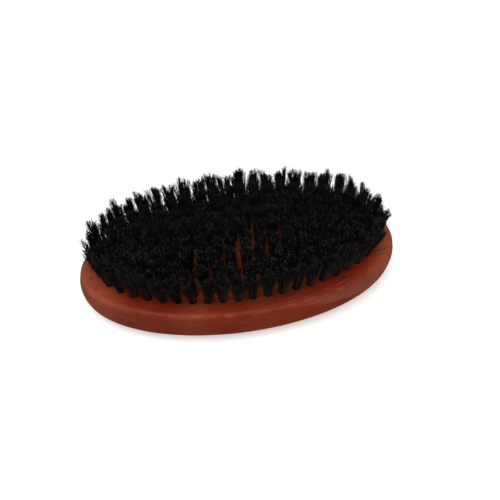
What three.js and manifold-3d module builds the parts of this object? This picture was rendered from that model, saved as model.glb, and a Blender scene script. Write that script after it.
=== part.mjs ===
// Oval palm brush for a beard, lying on its back with the bristles up.
// Units are millimetres, +Z is up, X runs along the brush and Y across it.
// The origin is the middle of the flat land that the back rests on.
//
// The wooden block is one piece, drilled with blind holes. Each hole holds one tuft of boar
// bristle, folded in half at its root. The holes fan outwards from the middle of the block and
// follow its outline: an outer ring of tufts, three rings inside it, and a straight centre row.
// Each tuft of the outer ring is its own mesh. The other rings are four arcs each, and an arc is
// one mesh, because the flared heads of its tufts touch while the stems below stay apart.

import * as THREE from 'three';
import { mergeVertices } from 'three/addons/utils/BufferGeometryUtils.js';
import Module from 'manifold-3d';

const wasm = await Module();
wasm.setup();

// Block: an ellipse in plan, with a rounded rim, slightly bulging sides and a shallow domed back.
const blockLength = 125;
const blockWidth = 66;
const blockHeight = 15.5;
const rimRadius = 2.2;
const sideBulge = 0.5;
const sideBottom = 7.4;
const cornerInset = 1.5;
const cornerZ = 3.7;
const domeInset = 5;
const domeZ = 1.8;
const landInset = 19;
const blockSegments = 72;

// Tuft layout on the face, outer ring first. A ring's shift turns it by a part of its step, and
// the centre row is shifted in millimetres, so that these two stand a little out of line.
const ringInset = 8.5;
const ringStep = 6.1;
const ringCounts = [46, 40, 34, 28];
const ringShifts = [0, 0, 0, 0.2];
const innerRingNames = ['second_ring', 'third_ring', 'fourth_ring'];
const arcsPerRing = 4;
const centreCount = 8;
const centrePitch = 5.5;
const centreShift = -0.8;

// Distances below the face of the points that the tufts fan out from, along and across.
const fanDepthX = 300;
const fanDepthY = 91;

// Tufts and their holes. Reach is the height of the trimmed heads above the face.
const tuftReach = 15.5;
const tuftRootRadius = 1.15;
const tuftHeadRadius = 2.6;
const tuftSides = 6;
const holeRadius = 1.5;
const holeDepth = 9;
const rootGap = 0.3;
const headHeight = 12.5;
const crownRatio = 0.65;
const touchOverlap = 0.15;

const faceZ = blockHeight;
const up = new THREE.Vector3(0, 0, 1);
const flatRatio = Math.cos(Math.PI / tuftSides);

const wood = new THREE.MeshStandardMaterial({ color: 0x6b2e1c, roughness: 0.45, metalness: 0 });
const bristle = new THREE.MeshStandardMaterial({ color: 0x14110f, roughness: 0.7, metalness: 0 });

// Turns a closed three.js geometry into a manifold solid.
function toSolid(geometry) {
  const bare = geometry.clone();
  bare.deleteAttribute('normal');
  bare.deleteAttribute('uv');
  const merged = mergeVertices(bare, 1e-4);
  const mesh = new wasm.Mesh({
    numProp: 3,
    vertProperties: new Float32Array(merged.attributes.position.array),
    triVerts: new Uint32Array(merged.index.array),
  });
  return new wasm.Manifold(mesh);
}

// Turns a manifold solid back into a three.js geometry.
function toGeometry(solid) {
  const mesh = solid.getMesh();
  const geometry = new THREE.BufferGeometry();
  geometry.setAttribute('position', new THREE.BufferAttribute(mesh.vertProperties, mesh.numProp));
  geometry.setIndex(new THREE.BufferAttribute(mesh.triVerts, 1));
  geometry.computeVertexNormals();
  return geometry;
}

// The block's section from the back to the face, as [inset from the outline, height].
function blockSection() {
  const points = [[landInset, 0]];
  const domeSteps = 3;
  for (let i = 1; i <= domeSteps; i += 1) {
    const t = i / domeSteps;
    points.push([landInset + (domeInset - landInset) * t, domeZ * t ** 1.5]);
  }
  points.push([cornerInset, cornerZ]);
  points.push([sideBulge * 0.5, sideBottom]);
  points.push([0, (sideBottom + faceZ - rimRadius) / 2]);
  const rimSteps = 3;
  for (let i = 0; i <= rimSteps; i += 1) {
    const angle = (i / rimSteps) * Math.PI / 2;
    const inset = sideBulge + rimRadius * (1 - Math.cos(angle));
    points.push([inset, faceZ - rimRadius * (1 - Math.sin(angle))]);
  }
  return points;
}

// The block without its holes: rings of the outline at each inset, closed by a flat at each end.
function blockGeometry() {
  const section = blockSection();
  const positions = [];
  const index = [];
  for (const [inset, z] of section) {
    for (let i = 0; i < blockSegments; i += 1) {
      const angle = (i / blockSegments) * 2 * Math.PI;
      const x = (blockLength / 2 - inset) * Math.cos(angle);
      const y = (blockWidth / 2 - inset) * Math.sin(angle);
      positions.push(x, y, z);
    }
  }
  const backCentre = positions.length / 3;
  positions.push(0, 0, 0);
  const faceCentre = backCentre + 1;
  positions.push(0, 0, faceZ);
  const lastRing = (section.length - 1) * blockSegments;
  for (let i = 0; i < blockSegments; i += 1) {
    const next = (i + 1) % blockSegments;
    for (let ring = 0; ring < lastRing; ring += blockSegments) {
      const above = ring + blockSegments;
      index.push(ring + i, ring + next, above + next);
      index.push(ring + i, above + next, above + i);
    }
    index.push(backCentre, next, i);
    index.push(faceCentre, lastRing + i, lastRing + next);
  }
  const geometry = new THREE.BufferGeometry();
  geometry.setAttribute('position', new THREE.Float32BufferAttribute(positions, 3));
  geometry.setIndex(index);
  return geometry;
}

// Where a ring's tufts stand: equal steps of arc length along an ellipse inside the outline,
// starting on +Y, or a part of a step on from there.
function ringPlaces(ring) {
  const inset = ringInset + ring * ringStep;
  const a = blockLength / 2 - inset;
  const b = blockWidth / 2 - inset;
  const ellipse = new THREE.EllipseCurve(0, 0, a, b, Math.PI / 2, Math.PI * 2.5, false, 0);
  ellipse.arcLengthDivisions = 2000;
  const places = [];
  for (let i = 0; i < ringCounts[ring]; i += 1) {
    places.push(ellipse.getPointAt((i + ringShifts[ring]) / ringCounts[ring]));
  }
  return places;
}

// Splits a ring's places into arcs of neighbours. Each arc also knows the places just beyond it.
function ringArcs(places) {
  const arcs = [];
  for (let i = 0; i < arcsPerRing; i += 1) {
    const start = Math.round((i * places.length) / arcsPerRing);
    const end = Math.round(((i + 1) * places.length) / arcsPerRing);
    arcs.push({
      places: places.slice(start, end),
      before: places.at(start - 1),
      after: places[end % places.length],
    });
  }
  return arcs;
}

function centrePlaces() {
  const places = [];
  for (let i = 0; i < centreCount; i += 1) {
    places.push(new THREE.Vector2((i - (centreCount - 1) / 2) * centrePitch + centreShift, 0));
  }
  return places;
}

// Where a tuft's axis crosses the face, and which way it leans.
function tuftPlacement(place) {
  const direction = new THREE.Vector3(place.x / fanDepthX, place.y / fanDepthY, 1).normalize();
  return {
    position: new THREE.Vector3(place.x, place.y, faceZ),
    quaternion: new THREE.Quaternion().setFromUnitVectors(up, direction),
    stretch: 1 / direction.z,
  };
}

// The middle of a tuft's head, seen from above.
function headPlace(place) {
  const x = place.x * (1 + headHeight / fanDepthX);
  const y = place.y * (1 + headHeight / fanDepthY);
  return new THREE.Vector2(x, y);
}

// A turned shape with a few sides, flat sides facing along X.
function facetedLathe(profile) {
  const points = profile.map(([radius, z]) => new THREE.Vector2(radius, z));
  const geometry = new THREE.LatheGeometry(points, tuftSides, Math.PI / tuftSides);
  geometry.rotateX(Math.PI / 2);
  geometry.rotateZ(Math.PI / 2);
  return geometry;
}

// One tuft along +Z with its axis crossing the face at the origin.
// Reach ahead and behind are how far the head's flat sides stand out along +X and -X.
function tuftGeometry(stretch, reachAhead, reachBehind) {
  const geometry = facetedLathe([
    [0, rootGap - holeDepth],
    [tuftRootRadius, rootGap - holeDepth],
    [tuftRootRadius, rootGap],
    [tuftHeadRadius, headHeight * stretch],
    [tuftHeadRadius * crownRatio, tuftReach * stretch],
    [0, tuftReach * stretch],
  ]);
  const plainReach = tuftHeadRadius * flatRatio;
  const position = geometry.attributes.position;
  for (let i = 0; i < position.count; i += 1) {
    const x = position.getX(i);
    const wanted = x > 0 ? reachAhead : reachBehind;
    const rise = THREE.MathUtils.clamp(position.getZ(i) / headHeight, 0, 1);
    position.setX(i, x * (1 + (wanted / plainReach - 1) * rise));
  }
  return geometry;
}

// A drill for one hole, standing through the face.
function drillGeometry() {
  return facetedLathe([[0, -holeDepth], [holeRadius, -holeDepth], [holeRadius, 3], [0, 3]]);
}

function placedGeometry(geometry, placement) {
  const matrix = new THREE.Matrix4();
  matrix.compose(placement.position, placement.quaternion, new THREE.Vector3(1, 1, 1));
  return geometry.applyMatrix4(matrix);
}

function makeBlock(places) {
  let solid = toSolid(blockGeometry());
  for (const place of places) {
    const drill = placedGeometry(drillGeometry(), tuftPlacement(place));
    solid = solid.subtract(toSolid(drill));
  }
  const mesh = new THREE.Mesh(toGeometry(solid), wood);
  mesh.name = 'wood_block';
  return mesh;
}

function makeSingleTuft(place, name) {
  const placement = tuftPlacement(place);
  const reach = tuftHeadRadius * flatRatio;
  const mesh = new THREE.Mesh(tuftGeometry(placement.stretch, reach, reach), bristle);
  mesh.name = name;
  mesh.position.copy(placement.position);
  mesh.quaternion.copy(placement.quaternion);
  return mesh;
}

// Cuts back a tuft so that it stays clear of a tuft beyond the end of its run.
function keepClear(tuft, head, otherHead) {
  const away = head.clone().sub(otherHead).normalize();
  const middle = head.clone().add(otherHead).multiplyScalar(0.5);
  return tuft.trimByPlane([away.x, away.y, 0], middle.dot(away) + rootGap / 2);
}

// A run of tufts whose heads touch. Each tuft is turned to face its neighbours, and its head is
// widened towards each of them until the two meet.
function makeTuftRun(run, name) {
  const plainReach = tuftHeadRadius * flatRatio;
  const heads = run.places.map(headPlace);
  let solid = null;
  run.places.forEach((place, i) => {
    const before = heads[Math.max(i - 1, 0)];
    const after = heads[Math.min(i + 1, heads.length - 1)];
    const heading = after.clone().sub(before).angle();
    const ahead = i + 1 < heads.length ? heads[i].distanceTo(after) / 2 + touchOverlap : plainReach;
    const behind = i > 0 ? heads[i].distanceTo(before) / 2 + touchOverlap : plainReach;
    const placement = tuftPlacement(place);
    const turned = tuftGeometry(placement.stretch, ahead, behind).rotateZ(heading);
    let tuft = toSolid(placedGeometry(turned, placement));
    if (run.before && i === 0) {
      tuft = keepClear(tuft, heads[i], headPlace(run.before));
    }
    if (run.after && i === heads.length - 1) {
      tuft = keepClear(tuft, heads[i], headPlace(run.after));
    }
    solid = solid ? solid.add(tuft) : tuft;
  });
  const mesh = new THREE.Mesh(toGeometry(solid), bristle);
  mesh.name = name;
  return mesh;
}

const brush = new THREE.Group();
const rings = ringCounts.map((count, ring) => ringPlaces(ring));
const centre = centrePlaces();
brush.add(makeBlock([...rings.flat(), ...centre]));
const outerRing = new THREE.Group();
rings[0].forEach((place, i) => {
  outerRing.add(makeSingleTuft(place, `outer_tuft_${String(i + 1).padStart(2, '0')}`));
});
brush.add(outerRing);
innerRingNames.forEach((name, i) => {
  const ring = new THREE.Group();
  ringArcs(rings[i + 1]).forEach((arc, j) => ring.add(makeTuftRun(arc, `${name}_arc_${j + 1}`)));
  brush.add(ring);
});
brush.add(makeTuftRun({ places: centre }, 'centre_row'));

export default brush;
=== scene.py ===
"""Oval palm brush for a beard: a lacquered wooden block filled with tufts of dark boar bristle.

The CAD frame gives the block's box. The block is rebuilt here with a fine surface and round
holes, each tuft becomes a bundle of folded bristles in its hole, and each hole gets the flat
wire anchor that holds the fold. Units are metres, and MM turns millimetres into metres.
"""

import math

import bmesh
import bpy
import numpy as np
from mathutils import Matrix, Vector, noise


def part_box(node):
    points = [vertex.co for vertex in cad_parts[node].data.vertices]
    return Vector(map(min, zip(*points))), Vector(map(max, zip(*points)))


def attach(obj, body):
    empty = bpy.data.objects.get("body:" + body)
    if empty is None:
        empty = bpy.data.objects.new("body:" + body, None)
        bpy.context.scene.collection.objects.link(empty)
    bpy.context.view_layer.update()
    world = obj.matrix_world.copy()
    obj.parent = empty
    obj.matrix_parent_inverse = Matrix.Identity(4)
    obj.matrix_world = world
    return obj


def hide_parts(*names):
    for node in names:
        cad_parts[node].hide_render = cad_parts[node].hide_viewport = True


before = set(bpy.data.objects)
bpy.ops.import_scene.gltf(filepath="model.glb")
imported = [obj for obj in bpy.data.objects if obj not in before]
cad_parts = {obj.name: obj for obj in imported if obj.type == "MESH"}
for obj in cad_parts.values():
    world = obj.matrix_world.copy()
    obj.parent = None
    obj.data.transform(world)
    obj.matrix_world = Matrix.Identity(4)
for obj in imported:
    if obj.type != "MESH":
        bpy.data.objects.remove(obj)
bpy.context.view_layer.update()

MM = 0.001
BODY = "root"
SEED = 41

# The block, from the frame.
BLOCK_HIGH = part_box("wood_block")[1]
HALF_LENGTH = BLOCK_HIGH.x
HALF_WIDTH = BLOCK_HIGH.y
FACE_Z = BLOCK_HIGH.z

# The block's section: rounded rim, slightly bulging side, rounded turn under, shallow domed back.
RIM_RADIUS = 2.2 * MM
SIDE_BULGE = 0.5 * MM
SIDE_BOTTOM = 7.4 * MM
DOME_EDGE = 3.7 * MM
TURN_IN = 5.0 * MM
TURN_IN_Z = 1.8 * MM
LAND_INSET = 19.0 * MM
OUTLINE_STEPS = 288
SHARP_DEGREES = 35

# Hand sanding moves the side inwards by this much, in two sizes of swell (waves per metre).
HAND_FINISH = 0.05 * MM
BROAD_SWELL = 120
SMALL_SWELL = 300

# Tuft layout, as in the CAD model: an outer ring, three rings inside it and a centre row.
RING_INSET = 8.5 * MM
RING_STEP = 6.1 * MM
RING_NAMES = ("outer", "second", "third", "fourth")
RING_COUNTS = (46, 40, 34, 28)
RING_SHIFTS = (0.0, 0.0, 0.0, 0.2)
ARCS_PER_RING = 4
ARC_LENGTH_STEPS = 20001
CENTRE_COUNT = 8
CENTRE_PITCH = 5.5 * MM
CENTRE_SHIFT = -0.8 * MM
FAN_DEPTH_X = 300.0 * MM
FAN_DEPTH_Y = 91.0 * MM

# Holes, each ending in the cone that a drill's point leaves. The drills start above the face.
HOLE_RADIUS = 1.5 * MM
HOLE_DEPTH = 9.0 * MM
HOLE_CONE = 0.6 * MM
HOLE_SIDES = 20
DRILL_ABOVE_FACE = 3.0 * MM

# Bristles: thin tubes that flare out from the hole, for each tuft STRANDS of them, folded in two.
# STRAND_SIZES is the range of a random factor on the radius, and the tube narrows to the share
# TAPER at TAPER_AT. VISIBLE_STEPS are the places along a bristle's visible part, from 0 at the
# face to 1 at its tip, where its path has a point.
REACH = 15.3 * MM
STRANDS = 100
STRAND_RADIUS = 0.112 * MM
STRAND_SIZES = (0.8, 1.15)
STRAND_SIDES = 3
TAPER_AT = (0.0, 0.8, 1.0)
TAPER = (1.0, 0.85, 0.6)
ROOT_RADIUS = 1.15 * MM
FLARE = 0.95
VISIBLE_STEPS = np.array([0.0, 0.25, 0.5, 0.75, 0.85, 0.93, 1.0])
TUFT_WOBBLE = 0.035

# How bristles differ from each other: all are bent a little, some are astray, a few have fallen
# over, and their last part is curled. Lengths are shares of the tuft's length.
BEND = 0.6 * MM
BEND_POWER = 1.6
ASTRAY_SHARE = 0.09
ASTRAY_BEND = 3.5
FALLEN_SHARE = 0.012
FALLEN_REACH = 7.0 * MM
FALLEN_LENGTHS = (0.35, 0.8)
CRINKLE = 0.26 * MM
CURL_START = 0.85
CURL = 0.85 * MM
CURL_SIZES = (0.3, 1.6)
CURL_DROP = 0.6
UNEVEN = 0.035
SHORT_SHARE = 0.08
SHORT_LENGTHS = (0.7, 0.93)
LONG_SHARE = 0.05
LONG_EXTRA = 0.03
CLUMP_SPREAD = 0.85

# Styles of tuft. "head" is half the size of the tuft's tip along X and Y, and "widths" the range of
# a random factor on it. The bristles gather into "clumps", drawn together by a share in the range
# "pull". Clumps differ in length by "ragged", and bristles at a clump's edge are shorter by
# "pointed". One more key makes bristles paler, which is painted light: paler tufts at the front,
# darker ones at the back. "tipped" below 1 keeps the pale colour off the tips.
FULL_HEAD = (3.7 * MM, 3.8 * MM)
THIN_HEAD = (2.4 * MM, 3.4 * MM)
INNER_STYLE = {
    "clumps": 6, "pull": (0.05, 0.25), "widths": (0.84, 1.16),
    "length": 1.0, "ragged": 0.045, "pointed": 0.09, "tipped": 1.0,
}
# The front tufts are painted paler: painted light.
FRONT_STYLE = INNER_STYLE | {
    "head": (3.9 * MM, 3.5 * MM), "clumps": 5, "pull": (0.10, 0.35), "widths": (0.78, 1.06),
    "painted_light": 1.20, "tipped": 0.945,
}
# The back tufts are painted darker: painted shade.
BACK_STYLE = INNER_STYLE | {
    "head": (3.5 * MM, 3.2 * MM), "clumps": 4, "pull": (0.40, 0.70),
    "length": 1.10, "ragged": 0.07, "pointed": 0.20, "painted_light": 0.5,
}

# Inner tufts are paler towards the front: painted light.
PAINTED_LIGHT_MIDDLE = 0.93
PAINTED_LIGHT_FALL = 0.10

# Tufts lean a little towards -X, as if combed, and at the front more so beyond SWEPT_FROM. Those at
# the left end lean back towards +X.
COMBED = -0.8 * MM
END_X = -40.0 * MM
END_SPREAD = 12.0 * MM
END_LEAN = 1.3 * MM
SWEPT_FROM = -20.0 * MM
SWEPT = 0.015

# Inner tufts are thin around a spot near the middle, where wood shows between them. Around the
# ends of the fourth ring they are wider and lean in, which fills the wider space between the rows.
THIN_SPOT = (-1.0 * MM, -5.0 * MM)
THIN_SPREAD = (24.0 * MM, 15.0 * MM)
THIN_CORE = 0.55
THIN_FADE = 0.6
OPEN_SPOT_X = 27.5 * MM
OPEN_REACH = 9.0 * MM
OPEN_WIDEN = 0.40
OPEN_LEAN = 1.6 * MM

# The fold at the root, under the anchor.
FOLD_GAP = 0.4 * MM
FOLD_LIFT = 0.7 * MM
FOLD_SLACK = 0.35 * MM
FOLD_TIGHTNESS = 0.8

# Anchors.
ANCHOR_LENGTH = 2.6 * MM
ANCHOR_HEIGHT = 1.1 * MM
ANCHOR_THICKNESS = 0.35 * MM
ANCHOR_EDGE = 0.08 * MM
ANCHOR_BOW = 0.12 * MM

# Wood colours, all linear RGB. The tints are multiplied in.
STAIN = (
    (0.34, (0.160, 0.0120, 0.0030)),
    (0.44, (0.168, 0.0200, 0.0060)),
    (0.56, (0.172, 0.0250, 0.0090)),
    (0.72, (0.196, 0.0350, 0.0135)),
)
# A pale painted sheen over the left end, and the paler colour of the right end.
LEFT_END_SHEEN = (0.275, 0.061, 0.0290)
PALER_RIGHT_END = (0.275, 0.056, 0.0215)
POOLED_STAIN = (0.170, 0.0135, 0.0042)
# Painted light: the wood between the tufts, made lighter.
PAINTED_LIGHT_BETWEEN_TUFTS = (0.215, 0.0410, 0.0165)
# A painted highlight on the rim and on a faint step beside it, and the step's painted shade.
PAINTED_HIGHLIGHT = (0.250, 0.080, 0.050)
STEP_SHADE = (0.130, 0.0100, 0.0030)
# A painted sheen on the side, in a band that widens to the right.
SHEEN_BAND = (0.200, 0.060, 0.035)
FLECK = (0.080, 0.0070, 0.0030)
LEFT_SIDE_TINT = (0.80, 0.76, 0.70)
# Painted shade: low on the side, below the painted sheen band, and in a thin line under the rim.
LOW_SIDE_SHADE = (1.06, 1.00, 0.62)
BELOW_SHEEN_SHADE = (0.93, 0.68, 0.36)
UNDER_RIM_SHADE = (0.74, 0.58, 0.45)

# How steeply the edges of the painted sheen band drop towards +X.
BAND_SLOPE = 0.25

# Bristle colours, from the darkest bristle to the palest.
BRISTLE_ROOT = (
    (0.0, (0.0090, 0.0042, 0.0036)),
    (0.5, (0.0190, 0.0092, 0.0078)),
    (1.0, (0.0560, 0.0380, 0.0330)),
)
BRISTLE_SHAFT = (
    (0.0, (0.0034, 0.0029, 0.0030)),
    (0.5, (0.0052, 0.0043, 0.0042)),
    (0.8, (0.0095, 0.0082, 0.0082)),
    (1.0, (0.0240, 0.0220, 0.0215)),
)
# The tips: partly the split ends' own paler colour, partly a painted highlight for their glint.
BRISTLE_TIP_AND_GLINT = (
    (0.50, (0.0034, 0.0033, 0.0035)),
    (0.74, (0.012, 0.012, 0.013)),
    (0.90, (0.052, 0.052, 0.053)),
    (1.0, (0.150, 0.149, 0.146)),
)

# Stage. Each lamp is a name, a place, a diameter and a power in watts, and points at LAMP_TARGET.
LAMPS = (
    ("key", (-0.20, -0.30, 0.90), 0.8, 10.0),
    ("back", (0.35, 0.60, 0.55), 0.5, 1.4),
    ("right", (0.55, -0.40, 0.22), 0.4, 0.7),
)
LAMP_TARGET = (0.0, 0.0, 0.015)
SKY_STRENGTH = 0.28
FLOOR_HALF_SIZE = 3.0
CAMERA_AZIMUTH = -11.6
CAMERA_ELEVATION = 45.6
CAMERA_DISTANCE = 0.300
CAMERA_LENS = 55.3
CAMERA_SHIFT_X = 0.0208


# ---------------------------------------------------------------- materials

class Nodes:
    """A new material, its Principled shader, and the nodes that are added to it."""

    def __init__(self, name):
        self.material = bpy.data.materials.new(name)
        self.material.use_nodes = True
        self.tree = self.material.node_tree
        self.shader = self.tree.nodes["Principled BSDF"]

    def feed(self, node, inputs):
        """Gives inputs of a node a fixed value each, or links them to another node's output."""
        for key, value in inputs.items():
            socket = node.inputs[key]
            if isinstance(value, bpy.types.NodeSocket):
                self.tree.links.new(value, socket)
            elif socket.type == "RGBA":
                socket.default_value = (*value, 1.0)
            else:
                socket.default_value = value

    def add(self, kind, inputs=None, **settings):
        """A new node, with its settings and its inputs."""
        node = self.tree.nodes.new(kind)
        for key, value in settings.items():
            setattr(node, key, value)
        self.feed(node, inputs or {})
        return node

    def place(self):
        """The place in the object's own frame, which is the CAD frame."""
        return self.add("ShaderNodeTexCoord").outputs["Object"]

    def noise(self, vector, scale, detail, roughness=0.5):
        node = self.add("ShaderNodeTexNoise", {
            "Vector": vector, "Scale": scale, "Detail": detail, "Roughness": roughness,
        })
        return node.outputs["Fac"]

    def ramp(self, value, stops):
        """A colour ramp. Each stop is a position and a colour or a grey level."""
        node = self.add("ShaderNodeValToRGB", {"Fac": value})
        ramp = node.color_ramp
        while len(ramp.elements) > 1:
            ramp.elements.remove(ramp.elements[-1])
        for i, (position, colour) in enumerate(stops):
            if not isinstance(colour, tuple):
                colour = (colour, colour, colour)
            element = ramp.elements[0] if i == 0 else ramp.elements.new(position)
            element.position = position
            element.color = (*colour, 1.0)
        return node.outputs["Color"]

    def span(self, value, low, high):
        """0 below low and 1 above high; the other way round when high is below low."""
        node = self.add("ShaderNodeMapRange", {"Value": value, "From Min": low, "From Max": high})
        return node.outputs["Result"]

    def between(self, value, low, high):
        """The value, which is about 0 to 1, moved to the range from low to high."""
        node = self.add("ShaderNodeMapRange", {"Value": value, "To Min": low, "To Max": high})
        return node.outputs["Result"]

    def maths(self, operation, *values):
        return self.add("ShaderNodeMath", dict(enumerate(values)), operation=operation).outputs[0]

    def product(self, first, *others):
        for other in others:
            first = self.maths("MULTIPLY", first, other)
        return first

    def blend(self, first, second, factor, blend_type="MIX"):
        mix = self.add(
            "ShaderNodeMix", {"A": first, "B": second, "Factor": factor},
            data_type="RGBA", blend_type=blend_type,
        )
        return mix.outputs["Result"]

    def tint(self, colour, other, factor=1.0):
        return self.blend(colour, other, factor, "MULTIPLY")

    def ellipse_share(self, place, inset):
        """How far out a place is: 0 on the block's axis, 1 on its outline moved in by inset."""
        scale = (1 / (HALF_LENGTH - inset), 1 / (HALF_WIDTH - inset), 0.0)
        scaled = self.add("ShaderNodeMapping", {"Vector": place, "Scale": scale}).outputs[0]
        return self.add("ShaderNodeVectorMath", {0: scaled}, operation="LENGTH").outputs["Value"]


def stain_and_sheen(nodes, x, blotch):
    """The blotchy reddish-brown stain, paler at the right end, and a painted sheen on the left end.
    """
    colour = nodes.ramp(blotch, STAIN)
    # Painted light: a pale sheen over the left end.
    left_sheen = nodes.product(nodes.span(x, -36 * MM, -60 * MM), 0.9)
    colour = nodes.blend(colour, LEFT_END_SHEEN, left_sheen)
    right_end = nodes.product(nodes.span(x, 38 * MM, 58 * MM), 0.8)
    return nodes.blend(colour, PALER_RIGHT_END, right_end)


def stain_and_light_around_tufts(nodes, colour, place, x, blotch):
    """Redder stain pooled around the outer tufts, left and right, and painted light inside them:
    the wood between the tufts is made lighter.
    """
    ring_share = nodes.ellipse_share(place, RING_INSET)
    aside = nodes.maths("ABSOLUTE", x)
    pooled = nodes.product(
        nodes.span(ring_share, 0.93, 1.0),
        nodes.span(ring_share, 1.30, 1.05),
        nodes.span(aside, 10 * MM, 28 * MM),
        nodes.span(aside, 54 * MM, 44 * MM),
        nodes.span(blotch, 0.80, 0.56),
    )
    colour = nodes.blend(colour, POOLED_STAIN, pooled)
    # Painted light: the wood between the tufts is made lighter.
    return nodes.blend(colour, PAINTED_LIGHT_BETWEEN_TUFTS, nodes.span(ring_share, 0.97, 0.90))


def rim_light_and_shade(nodes, colour, place, spot, patch):
    """A painted highlight along the rim, and the painted highlight and shade of a faint step beside
    it on the right half of the near side.
    """
    outline_share = nodes.ellipse_share(place, 0.0)
    near_right = nodes.product(
        nodes.span(spot["X"], -6 * MM, 6 * MM),
        nodes.span(spot["X"], 44 * MM, 34 * MM),
        nodes.span(spot["Y"], 0.0, -5 * MM),
    )
    # Painted highlight of the step.
    step_highlight = nodes.product(
        nodes.span(outline_share, 0.908, 0.914),
        nodes.span(outline_share, 0.926, 0.918),
        near_right,
        nodes.span(patch, 0.38, 0.52),
        0.5,
    )
    # Painted shade of the step.
    step_shadow = nodes.product(
        nodes.span(outline_share, 0.888, 0.898),
        nodes.span(outline_share, 0.910, 0.904),
        near_right,
        nodes.span(patch, 0.40, 0.55),
        0.7,
    )
    # Painted highlight along the rim.
    rim_highlight = nodes.product(
        nodes.span(spot["Z"], FACE_Z - 1.3 * MM, FACE_Z - 0.7 * MM),
        nodes.span(spot["Z"], FACE_Z - 0.05 * MM, FACE_Z - 0.35 * MM),
        nodes.span(patch, 0.42, 0.62),
        0.36,
    )
    colour = nodes.blend(colour, PAINTED_HIGHLIGHT, step_highlight)
    colour = nodes.blend(colour, STEP_SHADE, step_shadow)
    return nodes.blend(colour, PAINTED_HIGHLIGHT, rim_highlight)


def side_tones_and_light(nodes, colour, spot, streak):
    """The side: duller at the left, and warmer low down as painted shade. A painted sheen band
    widens to the right, with painted shade below it, and a thin line of painted shade under the
    rim."""
    x, y, z = spot["X"], spot["Y"], spot["Z"]
    left_side = nodes.product(
        nodes.span(z, FACE_Z - 1.5 * MM, FACE_Z - 3.0 * MM),
        nodes.span(x, -15 * MM, -35 * MM),
    )
    colour = nodes.tint(colour, LEFT_SIDE_TINT, left_side)
    # Painted shade low on the side.
    colour = nodes.tint(colour, LOW_SIDE_SHADE, nodes.span(z, FACE_Z - 6.0 * MM, FACE_Z - 8.5 * MM))

    level = nodes.maths("ADD", z, nodes.maths("MULTIPLY", x, BAND_SLOPE))
    near_side = nodes.span(y, 6 * MM, -14 * MM)
    # Painted shade below the sheen band.
    below_sheen_shade = nodes.product(
        nodes.span(level, FACE_Z + 3.0 * MM, FACE_Z + 1.8 * MM),
        nodes.span(x, 2 * MM, 14 * MM),
        near_side,
    )
    colour = nodes.tint(colour, BELOW_SHEEN_SHADE, below_sheen_shade)
    # Painted sheen: a pale band on the side.
    sheen_band = nodes.product(
        nodes.span(level, FACE_Z + 1.8 * MM, FACE_Z + 3.6 * MM),
        nodes.span(x, 6 * MM, 22 * MM),
        near_side,
        nodes.span(z, FACE_Z - 0.8 * MM, FACE_Z - 2.0 * MM),
        0.55,
    )
    colour = nodes.blend(colour, SHEEN_BAND, sheen_band)
    # Painted shade: a thin dark line under the rim.
    under_rim_shade = nodes.product(
        nodes.span(z, FACE_Z - 3.0 * MM, FACE_Z - 2.7 * MM),
        nodes.span(z, FACE_Z - 2.2 * MM, FACE_Z - 2.5 * MM),
        nodes.span(streak, 0.40, 0.55),
        nodes.span(x, 34 * MM, 18 * MM),
        0.7,
    )
    return nodes.tint(colour, UNDER_RIM_SHADE, under_rim_shade)


def bumps(nodes, layers):
    """A chain of bump nodes. Each layer is a height, a strength and a distance."""
    inputs = {}
    for height, strength, distance in layers:
        inputs |= {"Height": height, "Strength": strength, "Distance": distance}
        inputs["Normal"] = nodes.add("ShaderNodeBump", inputs).outputs["Normal"]
    return inputs["Normal"]


def wood_material():
    """Reddish-brown lacquer over close-grained wood."""
    nodes = Nodes("lacquered_wood")
    place = nodes.place()
    spot = nodes.add("ShaderNodeSeparateXYZ", {"Vector": place}).outputs
    along = nodes.add("ShaderNodeMapping", {"Vector": place, "Scale": (0.12, 1.0, 1.0)}).outputs[0]

    # From broad blotches of stain down to single pores. The grain runs along X.
    blotch = nodes.noise(place, 60.0, 3.0, 0.55)
    grain = nodes.noise(along, 900.0, 4.0, 0.6)
    streak = nodes.noise(along, 160.0, 2.0)
    pore = nodes.noise(along, 2600.0, 1.0, 0.4)
    patch = nodes.noise(place, 300.0, 4.0, 0.7)
    fleck = nodes.noise(place, 700.0, 2.0)

    colour = stain_and_sheen(nodes, spot["X"], blotch)
    colour = stain_and_light_around_tufts(nodes, colour, place, spot["X"], blotch)
    colour = rim_light_and_shade(nodes, colour, place, spot, patch)
    colour = side_tones_and_light(nodes, colour, spot, streak)

    pores = nodes.ramp(pore, [(0.24, 0.78), (0.31, 1.0)])
    colour = nodes.tint(colour, nodes.ramp(streak, [(0.35, 0.84), (0.65, 1.08)]))
    colour = nodes.tint(colour, nodes.ramp(grain, [(0.35, 0.88), (0.60, 1.04)]))
    colour = nodes.tint(colour, pores)
    flecks = nodes.product(nodes.span(fleck, 0.60, 0.68), nodes.span(blotch, 0.54, 0.42), 0.55)
    colour = nodes.blend(colour, FLECK, flecks)

    nodes.feed(nodes.shader, {
        "Base Color": colour,
        "Roughness": nodes.between(streak, 0.42, 0.58),
        "Normal": bumps(nodes, (
            (blotch, 0.35, 0.5 * MM),
            (patch, 0.25, 0.10 * MM),
            (grain, 0.22, 0.04 * MM),
            (pores, 0.5, 0.03 * MM),
        )),
        "Specular IOR Level": 0.05,
        "Coat Weight": 0.03,
        "Coat Roughness": 0.2,
    })
    return nodes.material


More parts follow.
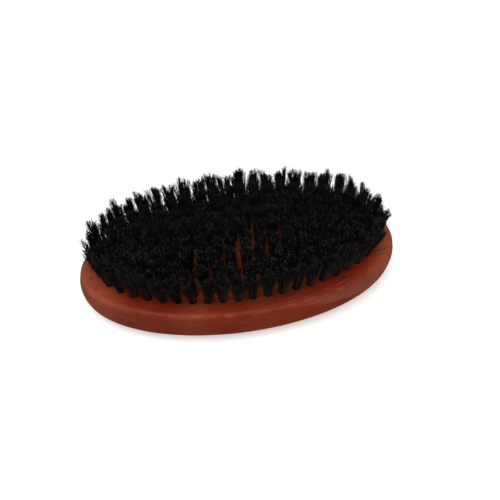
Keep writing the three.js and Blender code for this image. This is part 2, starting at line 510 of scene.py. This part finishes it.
def bristle_material():
    """Boar bristle: black-brown at the root, nearly black along the shaft, with paler split tips
    that also carry a painted highlight, the glint of the tips. One mesh attribute says how far
    along its bristle a point is, and one how pale its bristle is, painted light included."""
    nodes = Nodes("boar_bristle")
    along = nodes.add("ShaderNodeAttribute", attribute_name="along").outputs["Fac"]
    paleness = nodes.add("ShaderNodeAttribute", attribute_name="strand").outputs["Fac"]
    colour = nodes.ramp(paleness, BRISTLE_ROOT)
    colour = nodes.blend(colour, nodes.ramp(paleness, BRISTLE_SHAFT), nodes.span(along, 0.3, 0.8))
    # The tips: their own paler colour and a painted highlight.
    colour = nodes.blend(colour, nodes.ramp(paleness, BRISTLE_TIP_AND_GLINT), nodes.span(along, 0.92, 0.98))
    mottle = nodes.noise(nodes.place(), 1800.0, 2.0)
    nodes.feed(nodes.shader, {
        "Base Color": colour,
        "Roughness": nodes.between(mottle, 0.45, 0.7),
        "Specular IOR Level": 0.04,
    })
    return nodes.material


def wire_material():
    """Drawn steel wire, with faint drawing lines."""
    nodes = Nodes("anchor_steel")
    lines = nodes.noise(nodes.place(), 4000.0, 1.0)
    nodes.feed(nodes.shader, {
        "Base Color": nodes.ramp(lines, [(0.3, (0.42, 0.42, 0.43)), (0.7, (0.60, 0.60, 0.61))]),
        "Metallic": 1.0,
        "Roughness": 0.4,
    })
    return nodes.material


def floor_material():
    """A pale floor that glows a little, so that it stays white and its shadows stay weak."""
    nodes = Nodes("studio_floor")
    nodes.feed(nodes.shader, {
        "Base Color": (0.55, 0.55, 0.55),
        "Roughness": 0.8,
        "Emission Color": (1.0, 1.0, 1.0),
        "Emission Strength": 0.5,
    })
    return nodes.material


# ---------------------------------------------------------------- layout

def ring_places(ring):
    """Equal steps of arc length along an ellipse inside the outline, from the middle of +Y."""
    inset = RING_INSET + ring * RING_STEP
    a = HALF_LENGTH - inset
    b = HALF_WIDTH - inset
    angles = np.linspace(math.pi / 2, math.pi * 2.5, ARC_LENGTH_STEPS)
    points = np.stack([a * np.cos(angles), b * np.sin(angles)], axis=1)
    arc = np.concatenate([[0.0], np.cumsum(np.linalg.norm(np.diff(points, axis=0), axis=1))])
    count = RING_COUNTS[ring]
    wanted = (np.arange(count) + RING_SHIFTS[ring]) * arc[-1] / count
    return [(np.interp(s, arc, points[:, 0]), np.interp(s, arc, points[:, 1])) for s in wanted]


def tuft_list():
    """Every tuft, as the name of its piece, its place and the CAD node that it belongs to."""
    tufts = []
    for ring, (name, count) in enumerate(zip(RING_NAMES, RING_COUNTS)):
        for i, place in enumerate(ring_places(ring), 1):
            arc = 1
            while i > math.floor(arc * count / ARCS_PER_RING + 0.5):
                arc += 1
            node = f"outer_tuft_{i:02d}" if ring == 0 else f"{name}_ring_arc_{arc}"
            tufts.append((f"{name}_{i:02d}", place, node))
    for i in range(CENTRE_COUNT):
        x = (i - (CENTRE_COUNT - 1) / 2) * CENTRE_PITCH + CENTRE_SHIFT
        tufts.append((f"centre_{i + 1:02d}", (x, 0.0), "centre_row"))
    return tufts


def placement(place, wobble=(0.0, 0.0)):
    """The matrix that takes a tuft along +Z to its hole, leaning away from the middle."""
    x, y = place
    axis = Vector((x / FAN_DEPTH_X + wobble[0], y / FAN_DEPTH_Y + wobble[1], 1.0)).normalized()
    turn = Vector((0, 0, 1)).rotation_difference(axis).to_matrix().to_4x4()
    return Matrix.Translation((x, y, FACE_Z)) @ turn


# ---------------------------------------------------------------- meshes

def add_object(name, mesh, material):
    """An object that rides on the block's body."""
    mesh.materials.append(material)
    piece = bpy.data.objects.new(name, mesh)
    bpy.context.scene.collection.objects.link(piece)
    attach(piece, BODY)
    return piece


def mesh_of(model, name):
    """A new mesh with a bmesh model's shape. It frees the model."""
    mesh = bpy.data.meshes.new(name)
    model.to_mesh(mesh)
    model.free()
    return mesh


def arc_points(centre, radius, start, end, steps):
    """Points on an arc in the section plane, as (inset, height), angles in degrees."""
    angles = np.radians(np.linspace(start, end, steps + 1))
    return [(centre[0] + radius * math.cos(t), centre[1] + radius * math.sin(t)) for t in angles]


def curve_points(a, b, c, d, steps):
    """Points on a cubic Bezier curve in the section plane, without its first point."""
    points = []
    for i in range(1, steps + 1):
        t = i / steps
        weights = ((1 - t) ** 3, 3 * t * (1 - t) ** 2, 3 * t * t * (1 - t), t ** 3)
        points.append(tuple(sum(w * p[k] for w, p in zip(weights, (a, b, c, d))) for k in (0, 1)))
    return points


def block_section():
    """The section from the edge of the back's flat land to the edge of the face. Each curve has two
    ends, with two control points between them that set its direction there."""
    land = (LAND_INSET, 0.0)
    turn = (TURN_IN, TURN_IN_Z)
    corner = (SIDE_BULGE * 0.5, SIDE_BOTTOM)
    bulge = (0.0, (SIDE_BOTTOM + FACE_Z - RIM_RADIUS) / 2)
    rim = (SIDE_BULGE, FACE_Z - RIM_RADIUS)
    from_land = (LAND_INSET - 6 * MM, 0.0)
    to_turn = (TURN_IN + 4 * MM, TURN_IN_Z * 0.45)
    from_turn = (TURN_IN - 3 * MM, DOME_EDGE - 1.0 * MM)
    to_corner = (0.8 * MM, DOME_EDGE + 0.4 * MM)
    from_corner = (0.0, SIDE_BOTTOM + 1 * MM)
    to_bulge = (0.0, bulge[1] - 1 * MM)
    from_bulge = (0.0, bulge[1] + 1 * MM)
    to_rim = (SIDE_BULGE * 0.7, rim[1] - 1 * MM)
    points = [land]
    points += curve_points(land, from_land, to_turn, turn, 8)
    points += curve_points(turn, from_turn, to_corner, corner, 10)
    points += curve_points(corner, from_corner, to_bulge, bulge, 5)
    points += curve_points(bulge, from_bulge, to_rim, rim, 5)
    rim_centre = (SIDE_BULGE + RIM_RADIUS, FACE_Z - RIM_RADIUS)
    points += arc_points(rim_centre, RIM_RADIUS, 180, 90, 8)[1:]
    return points


def finished_by_hand(point):
    """Moves a point of the side a few hundredths of a millimetre, as hand sanding leaves it."""
    edge = Vector((point.x / HALF_LENGTH ** 2, point.y / HALF_WIDTH ** 2, 0.0)).normalized()
    swell = noise.noise(point * BROAD_SWELL) + 0.5 * noise.noise(point * SMALL_SWELL)
    return point - edge * HAND_FINISH * (1.0 + swell)


def solid_block():
    """The block's mesh without its holes."""
    model = bmesh.new()
    rings = []
    for inset, z in block_section():
        ring = []
        for i in range(OUTLINE_STEPS):
            angle = 2 * math.pi * i / OUTLINE_STEPS
            x = (HALF_LENGTH - inset) * math.cos(angle)
            y = (HALF_WIDTH - inset) * math.sin(angle)
            point = Vector((x, y, z))
            if 0.0 < z < FACE_Z:
                point = finished_by_hand(point)
            ring.append(model.verts.new(point))
        rings.append(ring)
    for lower, upper in zip(rings, rings[1:]):
        for i in range(OUTLINE_STEPS):
            j = (i + 1) % OUTLINE_STEPS
            model.faces.new((lower[i], lower[j], upper[j], upper[i]))
    model.faces.new(reversed(rings[0]))
    model.faces.new(rings[-1])
    return mesh_of(model, "wood_block_fine")


def drill_mesh(places):
    """One mesh of round drills, one for each hole."""
    model = bmesh.new()
    angles = [2 * math.pi * i / HOLE_SIDES for i in range(HOLE_SIDES)]
    for place in places:
        matrix = placement(place)
        tip = model.verts.new(matrix @ Vector((0, 0, -HOLE_DEPTH - HOLE_CONE)))
        rings = []
        for z in (-HOLE_DEPTH, DRILL_ABOVE_FACE):
            points = [(HOLE_RADIUS * math.cos(t), HOLE_RADIUS * math.sin(t), z) for t in angles]
            rings.append([model.verts.new(matrix @ Vector(p)) for p in points])
        for i in range(HOLE_SIDES):
            j = (i + 1) % HOLE_SIDES
            model.faces.new((rings[0][i], rings[0][j], rings[1][j], rings[1][i]))
            model.faces.new((rings[0][j], rings[0][i], tip))
        model.faces.new(rings[1])
    return mesh_of(model, "drills")


def make_block(places, material):
    """The block, drilled, with smooth sides and crisp hole edges."""
    block = bpy.data.objects.new("wood_block_fine", solid_block())
    drills = bpy.data.objects.new("drills", drill_mesh(places))
    for thing in (block, drills):
        bpy.context.scene.collection.objects.link(thing)
    cut = block.modifiers.new("holes", "BOOLEAN")
    cut.operation = "DIFFERENCE"
    cut.solver = "MANIFOLD"
    cut.object = drills
    bpy.context.view_layer.update()
    evaluated = block.evaluated_get(bpy.context.evaluated_depsgraph_get())
    mesh = bpy.data.meshes.new_from_object(evaluated)
    block.modifiers.clear()
    block.data = mesh
    bpy.data.objects.remove(drills)
    mesh.materials.clear()
    mesh.materials.append(material)
    mesh.shade_smooth()
    mesh.set_sharp_from_angle(angle=math.radians(SHARP_DEGREES))
    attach(block, BODY)
    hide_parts("wood_block")


# ---------------------------------------------------------------- bristles

def clamp(value):
    return min(1.0, max(0.0, value))


def disc(rng, count):
    """Random points spread evenly over a disc of radius 1."""
    radius = np.sqrt(rng.random(count))
    angle = rng.random(count) * 2 * math.pi
    return np.stack([radius * np.cos(angle), radius * np.sin(angle)], axis=1)


def clumped(rng, roots, style):
    """Where the bristles end in the tuft's head, gathered into clumps, and how long they are."""
    centres = disc(rng, style["clumps"]) * CLUMP_SPREAD
    gaps = np.linalg.norm(roots[:, None, :] - centres[None, :, :], axis=2)
    nearest = np.argmin(gaps, axis=1)
    pull = rng.uniform(*style["pull"])
    clump_rise = rng.normal(0.0, style["ragged"], style["clumps"])
    head = (roots + (centres[nearest] - roots) * pull) * np.array(style["head"])
    head = head * rng.uniform(*style["widths"])
    edge = gaps[np.arange(len(roots)), nearest]
    length = style["length"] + clump_rise[nearest] - style["pointed"] * edge
    return head, length


def bent_aside(rng, count, lean):
    """How far the bristles' ends are bent aside, and which of the bristles have fallen over."""
    bend = disc(rng, count) * BEND
    astray = rng.random(count) < ASTRAY_SHARE
    bend = np.where(astray[:, None], bend * ASTRAY_BEND, bend)
    fallen = rng.random(count) < FALLEN_SHARE
    bend = np.where(fallen[:, None], disc(rng, count) * FALLEN_REACH, bend)
    return bend + lean, fallen


def uneven(rng, length, fallen):
    """The bristles' lengths, each a little different, and some of them too short or too long."""
    count = len(length)
    length = length - np.abs(rng.normal(0.0, UNEVEN, count))
    short = rng.random(count) < SHORT_SHARE
    length = np.where(short, length * rng.uniform(*SHORT_LENGTHS, count), length)
    long = rng.random(count) < LONG_SHARE
    length = np.where(long, length + LONG_EXTRA, length)
    return np.where(fallen, length * rng.uniform(*FALLEN_LENGTHS, count), length)


def strand_ends(rng, roots, stretch, style):
    """Paths of the bristle ends above the face, each with its own length, bend, clump and curl."""
    count = len(roots)
    head, length = clumped(rng, roots, style)
    bend, fallen = bent_aside(rng, count, style["lean"])
    curl = disc(rng, count) * CURL * rng.uniform(*CURL_SIZES, count)[:, None]
    length = uneven(rng, length, fallen)
    drop = np.linalg.norm(curl, axis=1) * CURL_DROP
    paths = np.zeros((count, len(VISIBLE_STEPS), 3))
    for k, s in enumerate(VISIBLE_STEPS):
        flare = s ** FLARE
        side = roots * ROOT_RADIUS * (1 - flare) + head * flare
        side = side + bend * s ** BEND_POWER + disc(rng, count) * CRINKLE * s
        turned = max(0.0, (s - CURL_START) / (1 - CURL_START))
        paths[:, k, :2] = side + curl * turned
        paths[:, k, 2] = REACH * stretch * length * s - drop * turned ** 2
    return paths


def strand_paths(rng, stretch, style):
    """Centre lines of a tuft's bristles: each runs down one side, under the anchor, and up. Also
    how far along its visible part each of their points is."""
    first_roots = disc(rng, STRANDS)
    first_roots[:, 1] = np.abs(first_roots[:, 1])
    second_roots = disc(rng, STRANDS)
    second_roots[:, 1] = -np.abs(second_roots[:, 1])
    first = strand_ends(rng, first_roots, stretch, style)
    second = strand_ends(rng, second_roots, stretch, style)
    low = -HOLE_DEPTH + FOLD_GAP
    height = np.full((STRANDS, 1), low + FOLD_LIFT)
    down = np.concatenate([first_roots * ROOT_RADIUS * FOLD_TIGHTNESS, height], axis=1)
    over = np.concatenate([second_roots * ROOT_RADIUS * FOLD_TIGHTNESS, height], axis=1)
    middle = (down + over) / 2
    middle[:, 2] = low + rng.uniform(0.0, FOLD_SLACK, STRANDS)
    fold = np.stack([down, middle, over], axis=1)
    path = np.concatenate([first[:, ::-1], fold, second], axis=1)
    along = np.concatenate([VISIBLE_STEPS[::-1], np.zeros(3), VISIBLE_STEPS])
    return path, along


def tube_faces(strands, points):
    """The faces of closed tubes, each with a ring of STRAND_SIDES vertices at each point."""
    faces = []
    for strand in range(strands):
        base = strand * points * STRAND_SIDES
        for point in range(points - 1):
            here = base + point * STRAND_SIDES
            above = here + STRAND_SIDES
            for side in range(STRAND_SIDES):
                other = (side + 1) % STRAND_SIDES
                faces.append((here + side, here + other, above + other, above + side))
        end = base + (points - 1) * STRAND_SIDES
        faces.append(tuple(base + side for side in reversed(range(STRAND_SIDES))))
        faces.append(tuple(end + side for side in range(STRAND_SIDES)))
    return faces


def strand_tubes(path, along, rng):
    """Closed tubes around the centre lines, thinner towards both ends."""
    strands, points, _ = path.shape
    tangent = np.gradient(path, axis=1)
    tangent /= np.linalg.norm(tangent, axis=2, keepdims=True)
    aside = np.cross(tangent, np.array([0.0, 1.0, 0.0]))
    aside /= np.linalg.norm(aside, axis=2, keepdims=True)
    across = np.cross(tangent, aside)
    taper = np.interp(along, TAPER_AT, TAPER)
    radius = STRAND_RADIUS * rng.uniform(*STRAND_SIZES, strands)[:, None] * taper[None, :]
    rings = []
    for side in range(STRAND_SIDES):
        angle = 2 * math.pi * side / STRAND_SIDES
        offset = aside * math.cos(angle) + across * math.sin(angle)
        rings.append(path + offset * radius[:, :, None])
    vertices = np.stack(rings, axis=2).reshape(-1, 3)
    return vertices, tube_faces(strands, points)


def inner_style(place, combed):
    """A tuft inside the outer ring, thin near the middle and wide near the open spots."""
    x, y = place
    away = math.hypot(*((p - m) / spread for p, m, spread in zip(place, THIN_SPOT, THIN_SPREAD)))
    full_share = clamp((away - THIN_CORE) / THIN_FADE)
    to_open = Vector((math.copysign(OPEN_SPOT_X, x) - x, -y))
    nearness = max(0.0, 1 - to_open.length / OPEN_REACH)
    lean = to_open.normalized() * OPEN_LEAN * nearness
    wider = 1 + OPEN_WIDEN * nearness
    head = [(thin + (full - thin) * full_share) * wider for thin, full in zip(THIN_HEAD, FULL_HEAD)]
    # Painted light: paler towards the front.
    painted_light = PAINTED_LIGHT_MIDDLE - PAINTED_LIGHT_FALL * y / HALF_WIDTH
    return INNER_STYLE | {"head": head, "lean": (combed + lean.x, lean.y), "painted_light": painted_light}


def tuft_style(name, place):
    """A tuft's style. The outer tufts gather into points at the back, where they are painted darker
    as painted shade. At the front they spread out, and are painted paler as painted light."""
    x, y = place
    combed = COMBED + END_LEAN * clamp((END_X - x) / END_SPREAD)
    if not name.startswith("outer"):
        return inner_style(place, combed)
    if y > 0:
        return BACK_STYLE | {"lean": (combed, 0.0)}
    return FRONT_STYLE | {"lean": (combed + SWEPT * min(0.0, x - SWEPT_FROM), 0.0)}


def make_tuft(name, place, node, style, material, rng):
    """One tuft in its hole: its bristles as one mesh, with the two attributes of the material."""
    matrix = placement(place, rng.normal(0.0, TUFT_WOBBLE, 2))
    stretch = 1.0 / matrix.col[2].z
    path, along = strand_paths(rng, stretch, style)
    vertices, faces = strand_tubes(path, along, rng)
    turn = np.array(matrix.to_3x3())
    vertices = vertices @ turn.T + np.array(matrix.translation)
    mesh = bpy.data.meshes.new(name)
    mesh.from_pydata(vertices.tolist(), [], faces)
    piece = add_object(name, mesh, material)
    per_strand = len(along) * STRAND_SIDES
    values = {
        "along": np.tile(np.repeat(along * style["tipped"], STRAND_SIDES), STRANDS),
        # Each bristle's paleness, scaled by the tuft's painted light.
        "strand": np.repeat(rng.random(STRANDS) * style["painted_light"], per_strand),
    }
    for label, value in values.items():
        attribute = mesh.attributes.new(label, "FLOAT", "POINT")
        attribute.data.foreach_set("value", value.astype(np.float32))
    mesh.shade_smooth()
    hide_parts(node)


def make_anchor(name, place, material):
    """The short flat wire across the fold, near the hole's bottom. It stops short of the walls."""
    half = (ANCHOR_LENGTH / 2, ANCHOR_THICKNESS / 2, ANCHOR_HEIGHT / 2)
    model = bmesh.new()
    bmesh.ops.create_cube(model, size=2.0)
    for vertex in model.verts:
        vertex.co = Vector([c * h for c, h in zip(vertex.co, half)])
    bmesh.ops.bevel(model, geom=model.edges[:], offset=ANCHOR_EDGE, segments=2, affect="EDGES")
    for vertex in model.verts:
        vertex.co.z += ANCHOR_BOW * math.cos(math.pi * vertex.co.x / ANCHOR_LENGTH)
    height = -HOLE_DEPTH + FOLD_GAP + FOLD_LIFT + ANCHOR_HEIGHT / 2
    model.transform(placement(place) @ Matrix.Translation((0, 0, height)))
    add_object(name, mesh_of(model, name), material)


# ---------------------------------------------------------------- stage

def make_floor(material):
    size = FLOOR_HALF_SIZE
    corners = [(-size, -size, 0), (size, -size, 0), (size, size, 0), (-size, size, 0)]
    mesh = bpy.data.meshes.new("floor")
    mesh.from_pydata(corners, [], [(0, 1, 2, 3)])
    mesh.materials.append(material)
    floor = bpy.data.objects.new("floor", mesh)
    bpy.context.scene.collection.objects.link(floor)
    floor.visible_glossy = False


def make_lamp(name, place, size, power):
    light = bpy.data.lights.new(name, "AREA")
    light.shape = "DISK"
    light.size = size
    light.energy = power
    lamp = bpy.data.objects.new(name, light)
    lamp.location = place
    aim = Vector(LAMP_TARGET) - Vector(place)
    lamp.rotation_euler = aim.to_track_quat("-Z", "Y").to_euler()
    bpy.context.scene.collection.objects.link(lamp)


def make_sky():
    world = bpy.data.worlds.new("studio")
    world.use_nodes = True
    background = world.node_tree.nodes["Background"]
    background.inputs["Color"].default_value = (1.0, 1.0, 1.0, 1.0)
    background.inputs["Strength"].default_value = SKY_STRENGTH
    bpy.context.scene.world = world


def make_camera():
    """The photo's viewpoint, in front of the brush and above it, aimed at the face's middle."""
    azimuth = math.radians(CAMERA_AZIMUTH)
    elevation = math.radians(CAMERA_ELEVATION)
    back = Vector((
        math.sin(azimuth) * math.cos(elevation),
        -math.cos(azimuth) * math.cos(elevation),
        math.sin(elevation),
    ))
    data = bpy.data.cameras.new("camera")
    data.lens = CAMERA_LENS
    data.shift_x = CAMERA_SHIFT_X
    data.clip_start = 0.01
    camera = bpy.data.objects.new("camera", data)
    camera.location = Vector((0.0, 0.0, FACE_Z)) + back * CAMERA_DISTANCE
    camera.rotation_euler = (-back).to_track_quat("-Z", "Y").to_euler()
    bpy.context.scene.collection.objects.link(camera)
    bpy.context.scene.camera = camera


# ---------------------------------------------------------------- build

make_camera()
make_sky()
for lamp in LAMPS:
    make_lamp(*lamp)
make_floor(floor_material())
bpy.context.scene.view_settings.view_transform = "Standard"

rng = np.random.default_rng(SEED)
wood = wood_material()
bristle = bristle_material()
wire = wire_material()

tufts = tuft_list()
make_block([place for name, place, node in tufts], wood)
for name, place, node in tufts:
    make_tuft(f"{name}_tuft", place, node, tuft_style(name, place), bristle, rng)
    make_anchor(f"{name}_anchor", place, wire)
